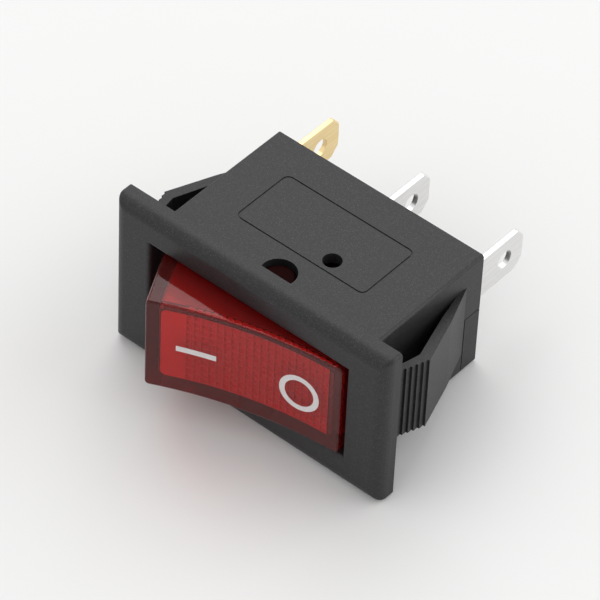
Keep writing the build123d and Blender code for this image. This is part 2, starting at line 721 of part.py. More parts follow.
def make_resistor_wire():
    """Wire from the resistor down to the +X spring."""
    z = LAMP_Z + WIRE_SPREAD
    points = [
        (RESISTOR_START + RESISTOR_LENGTH, LAMP_Y, z),
        (LAMP_SPRING_X + WIRE_BEND / 2, LAMP_Y, z),
        (LAMP_SPRING_X + WIRE_BEND / 2, WIRE_LOW_Y + WIRE_RADIUS, z),
    ]
    return on_rocker(wire_along(points, WIRE_BEND))


def lamp_spring(side):
    """Spring between a wire's end on the rocker and a terminal's shelf."""
    top_x, top_y = rocker_point(side * LAMP_SPRING_X, WIRE_LOW_Y + WIRE_RADIUS)
    x = (top_x + side * LAMP_SPRING_X) / 2
    lean = LAMP_SPRING_RADIUS * sin(radians(REST_TILT))
    span = (top_y + lean + SEAT_GAP, shelf_y() - SEAT_GAP)
    return coil(x, LAMP_Z, span, LAMP_SPRING_RADIUS, LAMP_SPRING_WIRE, LAMP_SPRING_TURNS)


def make_lamp_spring_return():
    """Spring of the lamp's return, at the -X end."""
    return lamp_spring(-1)


def make_lamp_spring_feed():
    """Spring of the lamp's feed, at the +X end."""
    return lamp_spring(1)


NODES = {
    "housing": make_housing,
    "rear_base": make_rear_base,
    "rocker": make_rocker,
    "plunger": make_plunger,
    "plunger_spring": make_plunger_spring,
    "contact_lever": make_contact_lever,
    "moving_contact": make_moving_contact,
    "fixed_contact": make_fixed_contact,
    "load_terminal": make_load_terminal,
    "common_terminal": make_common_terminal,
    "lamp_terminal": make_lamp_terminal,
    "lamp_bulb": make_lamp_bulb,
    "lamp_electrode_feed": make_lamp_electrode_feed,
    "lamp_electrode_return": make_lamp_electrode_return,
    "lamp_wire_feed": make_lamp_wire_feed,
    "lamp_wire_return": make_lamp_wire_return,
    "resistor": make_resistor,
    "resistor_wire": make_resistor_wire,
    "lamp_spring_feed": make_lamp_spring_feed,
    "lamp_spring_return": make_lamp_spring_return,
}

os.makedirs("parts", exist_ok=True)
for name, make in NODES.items():
    export_step(make(), f"parts/{name}.step")
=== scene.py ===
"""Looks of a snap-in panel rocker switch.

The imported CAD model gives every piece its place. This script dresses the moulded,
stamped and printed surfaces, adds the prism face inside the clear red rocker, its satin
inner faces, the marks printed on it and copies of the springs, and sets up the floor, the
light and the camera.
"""

from __future__ import annotations

import json
import logging
import math
from dataclasses import dataclass, field
from enum import Enum, IntEnum

import bmesh
import bpy
from mathutils import Matrix, Vector

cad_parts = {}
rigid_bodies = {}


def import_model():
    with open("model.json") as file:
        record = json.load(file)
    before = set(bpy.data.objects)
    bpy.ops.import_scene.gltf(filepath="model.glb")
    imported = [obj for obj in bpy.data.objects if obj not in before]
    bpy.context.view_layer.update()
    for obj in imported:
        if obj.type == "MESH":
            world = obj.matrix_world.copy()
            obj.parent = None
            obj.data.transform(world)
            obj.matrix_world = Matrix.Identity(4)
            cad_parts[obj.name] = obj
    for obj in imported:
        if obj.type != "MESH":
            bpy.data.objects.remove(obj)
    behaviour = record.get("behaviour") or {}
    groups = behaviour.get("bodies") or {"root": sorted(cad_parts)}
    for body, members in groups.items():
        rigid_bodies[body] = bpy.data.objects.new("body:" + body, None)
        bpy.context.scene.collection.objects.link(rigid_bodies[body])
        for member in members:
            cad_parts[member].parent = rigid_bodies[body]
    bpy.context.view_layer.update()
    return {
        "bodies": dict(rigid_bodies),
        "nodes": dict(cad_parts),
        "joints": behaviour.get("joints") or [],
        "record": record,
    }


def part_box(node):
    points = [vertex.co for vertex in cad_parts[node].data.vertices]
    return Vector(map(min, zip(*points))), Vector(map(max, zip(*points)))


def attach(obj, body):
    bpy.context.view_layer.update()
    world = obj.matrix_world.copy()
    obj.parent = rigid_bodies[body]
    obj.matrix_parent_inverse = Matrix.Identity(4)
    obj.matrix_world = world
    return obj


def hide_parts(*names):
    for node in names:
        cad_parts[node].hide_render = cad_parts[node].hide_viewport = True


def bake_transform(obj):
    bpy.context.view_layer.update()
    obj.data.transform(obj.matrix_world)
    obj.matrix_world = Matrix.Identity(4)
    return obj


LOG = logging.getLogger("rocker_switch")
MM = 0.001
# Values between which most of a noise texture lies
NOISE_SPAN = (0.3, 0.7)
Colour = tuple[float, float, float]
Outline = list[tuple[float, float]]
Mesh = bmesh.types.BMesh
Vertex = bmesh.types.BMVert


class Body(Enum):
    """Rigid groups of the switch that added pieces move with."""

    CASE = "case"
    ROCKER = "rocker"
    PLUNGER = "plunger"


class Slot(Enum):
    """Material slots of the record. No piece takes its finish from them here."""

    RED_CLEAR = "red_clear"
    INK = "white_plastic"
    SPRING = "spring_steel"


class SheetSlot(IntEnum):
    """Material slots of the prism face, in the order in which it is dressed."""

    PRISM = 0
    # Smooth window, painted bright as glow
    WINDOW = 1
    # Flat tips of the prisms, painted dark as shade
    TIP = 2
    # Rim round the window, painted bright as glow
    RIM = 3


class WallSlot(IntEnum):
    """Material slots of the rocker's inner faces, in the order in which they are dressed."""

    SATIN = 0
    # Strip beside the window, painted bright as light
    LIT = 1


class CapSlot(IntEnum):
    """Material slots of the rocker's cap, in the order in which it is dressed."""

    CLEAR = 0
    # Pin ends and foot, painted near-black as shade
    SHADED = 1


# Shader building

class NodeSheet:
    """A node tree with short ways to add nodes and to wire them."""

    def __init__(self, tree: bpy.types.NodeTree) -> None:
        """Work on the given tree."""
        self.tree = tree

    def join(self, source: bpy.types.NodeSocket, target: bpy.types.NodeSocket) -> None:
        """Link one socket to another."""
        self.tree.links.new(source, target)

    def node(self, kind: str, **values: object) -> bpy.types.Node:
        """Add a node and set its inputs or properties.

        Args:
            kind: The node's type name.
            values: Property names, or input names with spaces written as underscores.

        Returns:
            The new node.
        """
        made = self.tree.nodes.new(kind)
        for key, value in values.items():
            label = key.replace("_", " ")
            if label in made.inputs:
                made.inputs[label].default_value = value
            else:
                setattr(made, key, value)
        return made


class EffectGroup(NodeSheet):
    """A node group that several materials share, with named values in and out."""

    def __init__(self, name: str, inputs: tuple[str, ...], outputs: tuple[str, ...]) -> None:
        """Start a group without an effect.

        Args:
            name: Name of the group.
            inputs: Names of the values that each material sets.
            outputs: Names of the values that the group puts out.
        """
        super().__init__(bpy.data.node_groups.new(name, "ShaderNodeTree"))
        for label in inputs:
            self.tree.interface.new_socket(label, in_out="INPUT", socket_type="NodeSocketFloat")
        for label in outputs:
            self.tree.interface.new_socket(label, in_out="OUTPUT", socket_type="NodeSocketFloat")
        self.into = self.node("NodeGroupInput")
        self.out = self.node("NodeGroupOutput")


class MouldedGrain(EffectGroup):
    """Grain of a spark-eroded mould: fine pits over a softer orange peel, with bright specks.

    The inputs Pits, Peel and Specks are in features per metre. Height is for a bump, and
    Speckle is a mask of the specks.

    Attributes:
        PIT_SHARE: Height of the pits beside the height of the peel.
        SPECK_EDGE: Distance from a cell's middle at which its speck begins.
        SPECK_CORE: Distance within which the speck is full.
        BARE_CELLS: Share of the cells without a speck.
    """

    PIT_SHARE = 0.7
    SPECK_EDGE = 0.5
    SPECK_CORE = 0.1
    BARE_CELLS = 0.2

    def __init__(self) -> None:
        """Build the group."""
        super().__init__("moulded_grain", ("Pits", "Peel", "Specks"), ("Height", "Speckle"))
        place = self.node("ShaderNodeTexCoord")
        pits = self.node("ShaderNodeTexNoise", Detail=3.0, Roughness=0.7)
        peel = self.node("ShaderNodeTexNoise", Detail=2.0)
        for source, texture in (("Pits", pits), ("Peel", peel)):
            self.join(place.outputs["Object"], texture.inputs["Vector"])
            self.join(self.into.outputs[source], texture.inputs["Scale"])
        height = self.node("ShaderNodeMath", operation="MULTIPLY_ADD")
        height.inputs[1].default_value = self.PIT_SHARE
        self.join(pits.outputs["Fac"], height.inputs[0])
        self.join(peel.outputs["Fac"], height.inputs[2])
        self.join(height.outputs[0], self.out.inputs["Height"])
        cells = self.node("ShaderNodeTexVoronoi")
        self.join(place.outputs["Object"], cells.inputs["Vector"])
        self.join(self.into.outputs["Specks"], cells.inputs["Scale"])
        self.join(self.speckle(cells), self.out.inputs["Speckle"])

    def speckle(self, cells: bpy.types.Node) -> bpy.types.NodeSocket:
        """Bright core in the middle of some of the cells.

        Args:
            cells: The Voronoi texture.

        Returns:
            The mask's socket.
        """
        core = self.node("ShaderNodeMapRange", From_Min=self.SPECK_EDGE, From_Max=self.SPECK_CORE)
        chance = self.node("ShaderNodeSeparateColor")
        pick = self.node("ShaderNodeMapRange", From_Min=self.BARE_CELLS, From_Max=1.0)
        speck = self.node("ShaderNodeMath", operation="MULTIPLY")
        self.join(cells.outputs["Distance"], core.inputs["Value"])
        self.join(cells.outputs["Color"], chance.inputs["Color"])
        self.join(chance.outputs["Red"], pick.inputs["Value"])
        self.join(core.outputs["Result"], speck.inputs[0])
        self.join(pick.outputs["Result"], speck.inputs[1])
        return speck.outputs[0]


class RolledStreaks(EffectGroup):
    """Fine rolling lines of stamped strip, along the length of the blades.

    The inputs Fineness and Length are in features per metre. Height is for a bump.
    """

    def __init__(self) -> None:
        """Build the group."""
        super().__init__("rolled_streaks", ("Fineness", "Length"), ("Height",))
        place = self.node("ShaderNodeTexCoord")
        stretch = self.node("ShaderNodeCombineXYZ")
        for source, axis in (("Fineness", "X"), ("Length", "Y"), ("Fineness", "Z")):
            self.join(self.into.outputs[source], stretch.inputs[axis])
        scale = self.node("ShaderNodeVectorMath", operation="MULTIPLY")
        self.join(place.outputs["Object"], scale.inputs[0])
        self.join(stretch.outputs[0], scale.inputs[1])
        noise = self.node("ShaderNodeTexNoise", Scale=1.0, Detail=3.0)
        self.join(scale.outputs[0], noise.inputs["Vector"])
        self.join(noise.outputs["Fac"], self.out.inputs["Height"])


class FaintMottle(EffectGroup):
    """Soft blotches of an even coat. The input Blotches is in features per metre."""

    def __init__(self) -> None:
        """Build the group."""
        super().__init__("faint_mottle", ("Blotches",), ("Shade",))
        place = self.node("ShaderNodeTexCoord")
        noise = self.node("ShaderNodeTexNoise", Detail=3.0)
        self.join(place.outputs["Object"], noise.inputs["Vector"])
        self.join(self.into.outputs["Blotches"], noise.inputs["Scale"])
        self.join(noise.outputs["Fac"], self.out.inputs["Shade"])


class ShaderSheet(NodeSheet):
    """A material with one Principled shader."""

    def __init__(self, name: str) -> None:
        """Start a material with nothing but its shader.

        Args:
            name: Name of the material.
        """
        self.material = bpy.data.materials.new(name)
        self.material.use_nodes = True
        super().__init__(self.material.node_tree)
        self.tree.nodes.clear()
        self.output = self.node("ShaderNodeOutputMaterial")
        self.shader = self.node("ShaderNodeBsdfPrincipled")
        self.join(self.shader.outputs[0], self.output.inputs[0])

    def set(self, **values: object) -> None:
        """Set the shader's own sockets, with spaces written as underscores."""
        for key, value in values.items():
            self.shader.inputs[key.replace("_", " ")].default_value = value

    def effect(self, group: EffectGroup, **values: float) -> bpy.types.Node:
        """Place a shared group with this material's own values.

        Args:
            group: The group.
            values: A value for each of its inputs.

        Returns:
            The group's node.
        """
        placed = self.node("ShaderNodeGroup", node_tree=group.tree)
        for label, value in values.items():
            placed.inputs[label].default_value = value
        return placed

    def tint(
        self,
        source: bpy.types.NodeSocket,
        low: Colour,
        high: Colour,
        span: tuple[float, float],
    ) -> None:
        """Let a value run the base colour from one colour to another.

        Args:
            source: The value.
            low: Colour at the span's start.
            high: Colour at the span's end.
            span: The two values between which the colour changes.
        """
        ramp = self.node("ShaderNodeValToRGB")
        for element, place, colour in zip(ramp.color_ramp.elements, span, (low, high)):
            element.position = place
            element.color = (*colour, 1)
        self.join(source, ramp.inputs[0])
        self.join(ramp.outputs[0], self.shader.inputs["Base Color"])

    def bump(self, height: bpy.types.NodeSocket, strength: float, distance: float) -> None:
        """Feed a height into the shader's normal.

        Args:
            height: The height socket.
            strength: Strength of the bump node.
            distance: Real height in metres of a full step.
        """
        node = self.node("ShaderNodeBump", Strength=strength, Distance=distance)
        self.join(height, node.inputs["Height"])
        self.join(node.outputs[0], self.shader.inputs["Normal"])

    def let_lamps_through(self, colour: Colour) -> None:
        """Give shadow rays a tinted way through the surface.

        Args:
            colour: Colour that the light takes.
        """
        path = self.node("ShaderNodeLightPath")
        clear = self.node("ShaderNodeBsdfTransparent", Color=(*colour, 1))
        mix = self.node("ShaderNodeMixShader")
        self.join(path.outputs["Is Shadow Ray"], mix.inputs[0])
        self.join(self.shader.outputs[0], mix.inputs[1])
        self.join(clear.outputs[0], mix.inputs[2])
        self.join(mix.outputs[0], self.output.inputs[0])


# Finishes

@dataclass(frozen=True)
class GrainedPlastic:
    """Matt moulded plastic with an eroded grain.

    Attributes:
        name: Name of the material.
        dark: Colour of the plastic.
        light: Colour of its specks.
        roughness: Roughness of the shader.
        specular: Specular level of the shader.
        pits: Pits per metre.
        peel: Waves of the orange peel per metre.
        specks: Cells per metre that may hold a speck.
        relief: Strength of the bump.
        depth: Height of the grain, in metres.
    """

    name: str
    dark: Colour
    light: Colour
    roughness: float
    specular: float = 0.38
    pits: float = 7000.0
    peel: float = 1800.0
    specks: float = 9500.0
    relief: float = 0.6
    depth: float = 0.02 * MM

    def build(self, grain: MouldedGrain) -> bpy.types.Material:
        """Make the material.

        Args:
            grain: The moulded grain.

        Returns:
            The material.
        """
        sheet = ShaderSheet(self.name)
        texture = sheet.effect(grain, Pits=self.pits, Peel=self.peel, Specks=self.specks)
        sheet.tint(texture.outputs["Speckle"], self.dark, self.light, (0, 1))
        sheet.set(Roughness=self.roughness, Specular_IOR_Level=self.specular)
        sheet.bump(texture.outputs["Height"], self.relief, self.depth)
        return sheet.material


@dataclass(frozen=True)
class StampedMetal:
    """Rolled and stamped strip, plated or bare.

    Attributes:
        name: Name of the material.
        dark: Colour in the rolling lines.
        light: Colour between them.
        roughness: Roughness of the shader.
        fineness: Rolling lines per metre, across them.
        length: Breaks of the lines per metre, along them.
        relief: Strength of the bump.
        depth: Height of the lines, in metres.
    """

    name: str
    dark: Colour
    light: Colour
    roughness: float
    fineness: float = 9000.0
    length: float = 250.0
    relief: float = 0.5
    depth: float = 0.004 * MM

    def build(self, streaks: RolledStreaks) -> bpy.types.Material:
        """Make the material.

        Args:
            streaks: The rolled streaks.

        Returns:
            The material.
        """
        sheet = ShaderSheet(self.name)
        lines = sheet.effect(streaks, Fineness=self.fineness, Length=self.length)
        sheet.tint(lines.outputs["Height"], self.dark, self.light, NOISE_SPAN)
        sheet.set(Metallic=1.0, Roughness=self.roughness)
        sheet.bump(lines.outputs["Height"], self.relief, self.depth)
        return sheet.material


@dataclass(frozen=True)
class PlainCoat:
    """Even coat, such as ink, natural plastic or wire plating.

    Attributes:
        name: Name of the material.
        colour: Its colour.
        roughness: Roughness of the shader.
        metallic: 1 for a metal.
        mottle: How much darker its blotches are, as a share, or 0 for none.
        blotches: Blotches per metre.
        specular: Specular level of the shader.
    """

    name: str
    colour: Colour
    roughness: float
    metallic: float = 0.0
    mottle: float = 0.12
    blotches: float = 3000.0
    specular: float = 0.5

    def build(self, mottle: FaintMottle) -> bpy.types.Material:
        """Make the material.

        Args:
            mottle: The faint mottle.

        Returns:
            The material.
        """
        sheet = ShaderSheet(self.name)
        sheet.set(
            Base_Color=(*self.colour, 1),
            Roughness=self.roughness,
            Metallic=self.metallic,
            Specular_IOR_Level=self.specular,
        )
        if self.mottle:
            shade = sheet.effect(mottle, Blotches=self.blotches).outputs["Shade"]
            dark = tuple(channel * (1 - self.mottle) for channel in self.colour)
            sheet.tint(shade, dark, self.colour, NOISE_SPAN)
        return sheet.material


@dataclass(frozen=True)
class ClearPlastic:
    """Clear tinted plastic or glass that lets lamps through.

    Attributes:
        name: Name of the material.
        colour: Colour of the plastic.
        shadow: Colour of the light that a surface lets through.
        roughness: Roughness of the shader.
        ior: Index of refraction.
        clearness: Transmission weight of the shader.
        specular: Specular level of the shader.
    """

    name: str
    colour: Colour
    shadow: Colour
    roughness: float
    ior: float
    clearness: float = 1.0
    specular: float = 0.5

    def build(self) -> bpy.types.Material:
        """Make the material.

        Returns:
            The material.
        """
        sheet = ShaderSheet(self.name)
        sheet.set(
            Base_Color=(*self.colour, 1),
            Roughness=self.roughness,
            IOR=self.ior,
            Transmission_Weight=self.clearness,
            Specular_IOR_Level=self.specular,
        )
        sheet.let_lamps_through(self.shadow)
        return sheet.material


PLASTICS = [
    GrainedPlastic("black_moulding", (0.016, 0.016, 0.0175), (0.075, 0.075, 0.078), 0.48),
    GrainedPlastic("black_base", (0.016, 0.016, 0.0175), (0.065, 0.065, 0.067), 0.52),
]
METALS = [
    StampedMetal("tinned_strip", (0.74, 0.735, 0.73), (0.84, 0.835, 0.83), 0.38),
    StampedMetal("brass_strip", (0.82, 0.62, 0.3), (0.92, 0.74, 0.42), 0.36),
    StampedMetal("copper_strip", (0.6, 0.3, 0.18), (0.8, 0.45, 0.3), 0.35),
]
COATS = [
    PlainCoat("white_ink", (0.72, 0.68, 0.68), 0.5),
    PlainCoat("natural_plastic", (0.78, 0.76, 0.7), 0.4),
    PlainCoat("contact_silver", (0.82, 0.81, 0.78), 0.25, metallic=1.0),
    PlainCoat("spring_wire", (0.5, 0.5, 0.5), 0.3, metallic=1.0),
    PlainCoat("tinned_wire", (0.7, 0.7, 0.68), 0.25, metallic=1.0),
    PlainCoat("resistor_coat", (0.62, 0.45, 0.25), 0.4),
    PlainCoat("prism_red", (0.58, 0.026, 0.024), 0.4),
    # Near-black red on the prisms' flat tips: painted shade at the bottoms of the pits.
    PlainCoat("prism_tip_shade_red", (0.07, 0.002, 0.002), 0.4),
    # Bright pink-red on the smooth window: painted glow of light coming through it.
    PlainCoat("window_glow_red", (1.0, 0.4, 0.36), 0.3, mottle=0.0),
    # Near-white red on the window's rim and on the strip beside it: painted glow and light.
    PlainCoat("painted_glow_red", (1.0, 0.8, 0.72), 0.3, mottle=0.0),
    # Near-black red for the rocker's pin ends and foot: painted shade of the pivot holes and of the
    # inside of the switch.
    PlainCoat("pivot_shade_red", (0.012, 0.001, 0.001), 0.8, specular=0.05),
    PlainCoat("deep_red_satin", (0.16, 0.006, 0.006), 0.5, mottle=0.3, blotches=1500.0),
]
CLEARS = [
    ClearPlastic(
        "clear_red",
        colour=(1.0, 0.11, 0.095),
        shadow=(1.0, 0.22, 0.19),
        roughness=0.03,
        ior=1.39,
        clearness=0.95,
        specular=0.25,
    ),
    ClearPlastic(
        "lamp_glass",
        colour=(0.95, 0.96, 0.96),
        shadow=(0.9, 0.9, 0.9),
        roughness=0.0,
        ior=1.5,
    ),
]

NODE_FINISH = {
    "housing": "black_moulding",
    "rear_base": "black_base",
    "rocker": "clear_red",
    "plunger": "natural_plastic",
    "plunger_spring": "spring_wire",
    "contact_lever": "copper_strip",
    "moving_contact": "contact_silver",
    "fixed_contact": "contact_silver",
    "load_terminal": "tinned_strip",
    "common_terminal": "tinned_strip",
    "lamp_terminal": "brass_strip",
    "lamp_bulb": "lamp_glass",
    "lamp_electrode_feed": "tinned_wire",
    "lamp_electrode_return": "tinned_wire",
    "lamp_wire_feed": "tinned_wire",
    "lamp_wire_return": "tinned_wire",
    "resistor": "resistor_coat",
    "resistor_wire": "tinned_wire",
    "lamp_spring_feed": "spring_wire",
    "lamp_spring_return": "spring_wire",
}


@dataclass
class Finishes:
    """Every material of the switch, made once."""

    made: dict[str, bpy.types.Material] = field(default_factory=dict)

    def build(self) -> None:
        """Make the shared effects and all the materials."""
        for effect, finishes in (
            (MouldedGrain(), PLASTICS),
            (RolledStreaks(), METALS),
            (FaintMottle(), COATS),
        ):
            for finish in finishes:
                self.made[finish.name] = finish.build(effect)
        for finish in CLEARS:
            self.made[finish.name] = finish.build()

    def dress(self, piece: bpy.types.Object, *names: str) -> None:
        """Give a piece its materials.

        Args:
            piece: The object.
            names: Names of the finishes, one for each material slot.
        """
        piece.data.materials.clear()
        for name in names:
            piece.data.materials.append(self.made[name])


# Pieces

def mesh_piece(name: str, mesh: Mesh, body: Body) -> bpy.types.Object:
    """Turn a bmesh into a piece that rides on a body.

    Args:
        name: Name of the piece.
        mesh: Its geometry, in metres, in the row frame. It is freed.
        body: The body that it rides on.

    Returns:
        The new object.
    """
    bmesh.ops.recalc_face_normals(mesh, faces=mesh.faces)
    data = bpy.data.meshes.new(name)
    mesh.to_mesh(data)
    mesh.free()
    piece = bpy.data.objects.new(name, data)
    bpy.context.scene.collection.objects.link(piece)
    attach(piece, body.value)
    LOG.info("%s: %d faces", name, len(data.polygons))
    return piece


@dataclass(frozen=True)
class RockerSpace:
    """The rocker's own frame, in millimetres.

    Its origin is on the pivot axis, X runs from the on end to the off end, Y inwards and
    Z along the pivot axis.

    Attributes:
        pivot_y: Y of the pivot axis in the row frame.
        tilt: Angle in degrees that the rocker stands at in the frame.
    """

    pivot_y: float
    tilt: float

    @classmethod
    def from_frame(cls, frame: dict) -> RockerSpace:
        """Read the pivot and the rest tilt from the rocker's joint.


        Returns:
            The rocker's frame.
        """
        joint = next(j for j in frame["joints"] if j["name"] == "rocker_tilt")
        return cls(joint["pos_m"][1] / MM, joint["range_deg"][1] / 2)

    def place(self, x: float, y: float, z: float) -> Vector:
        """Place in the row frame, in metres, of a point of the rocker's frame."""
        turn = Matrix.Rotation(math.radians(self.tilt), 3, "Z")
        return (turn @ Vector((x, y, z)) + Vector((0, self.pivot_y, 0))) * MM

    def inward(self) -> Vector:
        """Direction from the rocker's front into the switch."""
        return (self.place(0, 1, 0) - self.place(0, 0, 0)).normalized()


@dataclass(frozen=True)
class HollowFace:
    """Concave face of the rocker as a circular arc.

    Attributes:
        half: Half of its length.
        rise: How far its ends stand out from the pivot axis.
        hollow: How far its middle lies behind its ends.
    """

    half: float
    rise: float
    hollow: float

    def depth(self, x: float) -> float:
        """Y of the face at a distance x from the middle."""
        radius = (self.half ** 2 + self.hollow ** 2) / (2 * self.hollow)
        return self.hollow - self.rise - radius + math.sqrt(radius ** 2 - x ** 2)


@dataclass(frozen=True)
class PrismFace:
    """Rows of small cut-off pyramids in the front wall, with a smooth window at the on end, painted
    bright as glow.

    Attributes:
        inner: Inner face of the front wall.
        bed: How far the prism face lies in the wall, from that face.
        half_z: Half of its width.
        window_x: Outer and inner end of the window. The prisms start at the inner one.
        window_rim: Width of the rim round the window, painted bright as glow.
        window_radius: Radius of the window's outer corners.
        corner_steps: Edges along each of these corners.
        prism_end: Off end of the prisms.
        pitch: Side of a prism, before it is fitted to the length and the width.
        prism_depth: Depth of a prism.
        tip_share: Side of a prism's flat tip, as a share of its own. The tips are painted dark as
            shade.
    """

    inner: HollowFace
    bed: float = 0.28
    half_z: float = 4.0
    window_x: tuple[float, float] = (-8.2, -5.95)
    window_rim: float = 0.12
    window_radius: float = 0.5
    corner_steps: int = 6
    prism_end: float = 8.0
    pitch: float = 0.7
    prism_depth: float = 0.25
    tip_share: float = 0.5

    def build(self, space: RockerSpace, finishes: Finishes) -> bpy.types.Object:
        """Make the prism face.

        Args:
            space: The rocker's frame.
            finishes: The finishes of the switch.

        Returns:
            The new object.
        """
        mesh = bmesh.new()
        self.prisms(mesh, space)
        self.window(mesh, space)
        piece = mesh_piece("rocker_prism_face", mesh, Body.ROCKER)
        finishes.dress(piece, "prism_red", "window_glow_red", "prism_tip_shade_red", "painted_glow_red")
        return piece

    def point(self, mesh: Mesh, space: RockerSpace, x: float, z: float, depth: float = 0) -> Vertex:
        """New vertex at a depth behind the bedded face."""
        return mesh.verts.new(space.place(x, self.inner.depth(x) - self.bed + depth, z))

    def prisms(self, mesh: Mesh, space: RockerSpace) -> None:
        """Add the rows of prisms.

        Args:
            mesh: The mesh that gets them.
            space: The rocker's frame.
        """
        start = self.window_x[1]
        columns = round((self.prism_end - start) / self.pitch)
        rows = round(2 * self.half_z / self.pitch)
        step_x = (self.prism_end - start) / columns
        step_z = 2 * self.half_z / rows
        tip_x = step_x * self.tip_share / 2
        tip_z = step_z * self.tip_share / 2
        grid = {}
        for i in range(columns + 1):
            for j in range(rows + 1):
                grid[i, j] = self.point(mesh, space, start + i * step_x, j * step_z - self.half_z)
        for i in range(columns):
            for j in range(rows):
                x = start + (i + 0.5) * step_x
                z = (j + 0.5) * step_z - self.half_z
                tip = [
                    self.point(mesh, space, x + a * tip_x, z + b * tip_z, self.prism_depth)
                    for a, b in ((-1, -1), (1, -1), (1, 1), (-1, 1))
                ]
                ring = [grid[i, j], grid[i + 1, j], grid[i + 1, j + 1], grid[i, j + 1]]
                for k in range(4):
                    after = (k + 1) % 4
                    slope = mesh.faces.new((ring[k], ring[after], tip[after], tip[k]))
                    slope.material_index = SheetSlot.PRISM
                # The flat tips take a near-black red: painted shade at the bottoms of the pits.
                mesh.faces.new(tip).material_index = SheetSlot.TIP

    def window(self, mesh: Mesh, space: RockerSpace) -> None:
        """Add the window and the rim round three of its sides, both painted bright as glow.

        Args:
            mesh: The mesh that gets them.
            space: The rocker's frame.
        """
        outer, inner = [
            [self.point(mesh, space, x, z) for x, z in self.window_outline(inset)]
            for inset in (0, self.window_rim)
        ]
        for k in range(len(outer) - 1):
            rim = mesh.faces.new((outer[k], outer[k + 1], inner[k + 1], inner[k]))
            rim.material_index = SheetSlot.RIM
        for k in range(len(inner) // 2 - 1):
            far = len(inner) - 1 - k
            pane = mesh.faces.new((inner[k], inner[k + 1], inner[far - 1], inner[far]))
            pane.material_index = SheetSlot.WINDOW

    def window_outline(self, inset: float) -> Outline:
        """Outline (x, z) of the window, from its inner end round both outer corners.

        Args:
            inset: Distance inside the window's edge.

        Returns:
            Points from the +Z side to the -Z side, each with its mirror image.
        """
        radius = self.window_radius - inset
        left = self.window_x[0] + self.window_radius
        high = self.half_z - self.window_radius
        steps = self.corner_steps
        turns = [math.pi / 2 * (1 + i / steps) for i in range(steps + 1)]
        upper = [(left + radius * math.cos(t), high + radius * math.sin(t)) for t in turns]
        upper.insert(0, (self.window_x[1], self.half_z - inset))
        return upper + [(x, -z) for x, z in reversed(upper)]


@dataclass(frozen=True)
class InnerFaces:
    """Spark-eroded inner faces of the rocker's walls, with a strip beside the window painted bright
    as light.

    Attributes:
        inner: Inner face of the front wall.
        half_z: Distance of the long walls' faces from the middle.
        foot: X and Y where the end walls' inner faces meet the foot.
        skirt: Y at which the faces end, further in than the foot.
        inset: How far the faces stop short of the corners and of the front wall.
        bed: How far the end walls' faces lie in the clear plastic.
        columns: Faces along a long wall.
        rows: Faces from the front wall to the foot.
        lit_span: Start and end of the strip painted bright as light, as shares of the half length.
        lit_rows: Rows that the strip takes, from the front wall.
    """

    inner: HollowFace
    half_z: float = 3.93
    foot: tuple[float, float] = (9.19, -1.85)
    skirt: float = 0.7
    inset: float = 0.02
    bed: float = 0.03
    columns: int = 50
    rows: int = 10
    lit_span: tuple[float, float] = (0.69, 0.93)
    lit_rows: int = 8

    def build(self, space: RockerSpace, finishes: Finishes) -> bpy.types.Object:
        """Make the inner faces of the four walls.

        Args:
            space: The rocker's frame.
            finishes: The finishes of the switch.

        Returns:
            The new object.
        """
        mesh = bmesh.new()
        grids = [self.long_wall(mesh, space, side) for side in (1, -1)]
        for grid in grids:
            for i in range(self.columns):
                share = 1 - (2 * i + 1) / self.columns
                lit = grid is grids[0] and self.lit_span[0] < share < self.lit_span[1]
                for j in range(self.rows + 1):
                    ring = (grid[i][j], grid[i + 1][j], grid[i + 1][j + 1], grid[i][j + 1])
                    # Faces of the strip take the bright glow red: painted light coming through the
                    # window.
                    bright = lit and j < self.lit_rows
                    mesh.faces.new(ring).material_index = WallSlot.LIT if bright else WallSlot.SATIN
        for side in (1, -1):
            self.end_wall(mesh, space, side)
        piece = mesh_piece("rocker_inner_faces", mesh, Body.ROCKER)
        finishes.dress(piece, "deep_red_satin", "painted_glow_red")
        return piece

    def long_wall(self, mesh: Mesh, space: RockerSpace, side: int) -> list[list[Vertex]]:
        """Vertices over the inner face of one long wall.

        Args:
            mesh: The mesh that gets the vertices.
            space: The rocker's frame.
            side: 1 for the wall at +Z, -1 for the one at -Z.

        Returns:
            Columns of vertices from the -X end, each from the front wall to the foot and
            the skirt.
        """
        foot_x, foot_y = self.foot
        grid = []
        for i in range(self.columns + 1):
            share = 2 * i / self.columns - 1
            top_x = share * (self.inner.half - self.inset)
            top_y = self.inner.depth(top_x) + self.inset
            low_x = share * (foot_x - self.inset)
            run = []
            for j in range(self.rows + 1):
                down = j / self.rows
                run.append((top_x + (low_x - top_x) * down, top_y + (foot_y - top_y) * down))
            run.append((low_x, self.skirt))
            grid.append([mesh.verts.new(space.place(x, y, side * self.half_z)) for x, y in run])
        return grid

    def end_wall(self, mesh: Mesh, space: RockerSpace, side: int) -> None:
        """Add the inner face of one end wall, bedded in the clear plastic.

        Args:
            mesh: The mesh that gets the face.
            space: The rocker's frame.
            side: 1 for the wall at +X, -1 for the one at -X.
        """
        foot_x, foot_y = self.foot
        run = [
            (self.inner.half + self.bed, self.inner.depth(self.inner.half) + self.inset),
            (foot_x + self.bed, foot_y),
            (foot_x + self.bed, self.skirt),
        ]
        grid = [
            [mesh.verts.new(space.place(side * x, y, z)) for z in (-self.half_z, self.half_z)]
            for x, y in run
        ]
        for low, high in zip(grid, grid[1:]):
            mesh.faces.new((low[0], low[1], high[1], high[0]))


